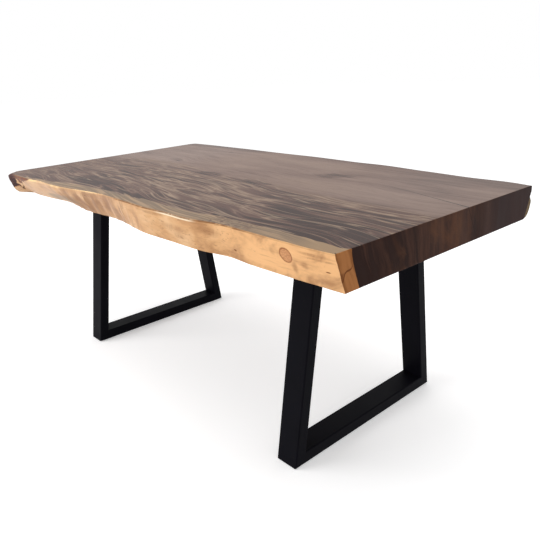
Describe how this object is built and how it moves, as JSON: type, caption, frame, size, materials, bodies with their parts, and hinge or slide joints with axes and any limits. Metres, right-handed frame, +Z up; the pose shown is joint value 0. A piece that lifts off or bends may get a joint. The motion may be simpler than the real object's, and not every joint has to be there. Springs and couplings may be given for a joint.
{
  "type": "live edge dining table",
  "caption": "Long dining table: a thick natural-edged hardwood slab bolted to trapezoid frames of mitred steel tube.",
  "frame": {"origin": "on the floor, below the middle of the slab's own box", "axes": "+X along the slab towards its narrower end, +Y from the front live edge to the back one, +Z up"},
  "size_m": [1.8939, 1.0675, 0.76],
  "materials": {
    "slab_wood": "satin lacquer over dark streaked heartwood, with honey-coloured sapwood on the live edges",
    "frame_black": "satin black powder coat",
    "bolt_steel": "bright zinc plated",
    "insert_brass": "machined",
    "pad_rubber": "matte"
  },
  "bodies": {
    "root": {"tabletop_slab": "slab_wood", "left_front_leg": "frame_black", "left_rear_leg": "frame_black", "left_floor_bar": "frame_black", "left_top_plate": "frame_black", "left_top_welds": "frame_black", "left_mounting_bolts": "bolt_steel", "left_washers": "bolt_steel", "left_threaded_inserts": "insert_brass", "left_front_floor_pad": "pad_rubber", "left_rear_floor_pad": "pad_rubber", "right_front_leg": "frame_black", "right_rear_leg": "frame_black", "right_floor_bar": "frame_black", "right_top_plate": "frame_black", "right_top_welds": "frame_black", "right_mounting_bolts": "bolt_steel", "right_washers": "bolt_steel", "right_threaded_inserts": "insert_brass", "right_front_floor_pad": "pad_rubber", "right_rear_floor_pad": "pad_rubber"}
  },
  "joints": []
}
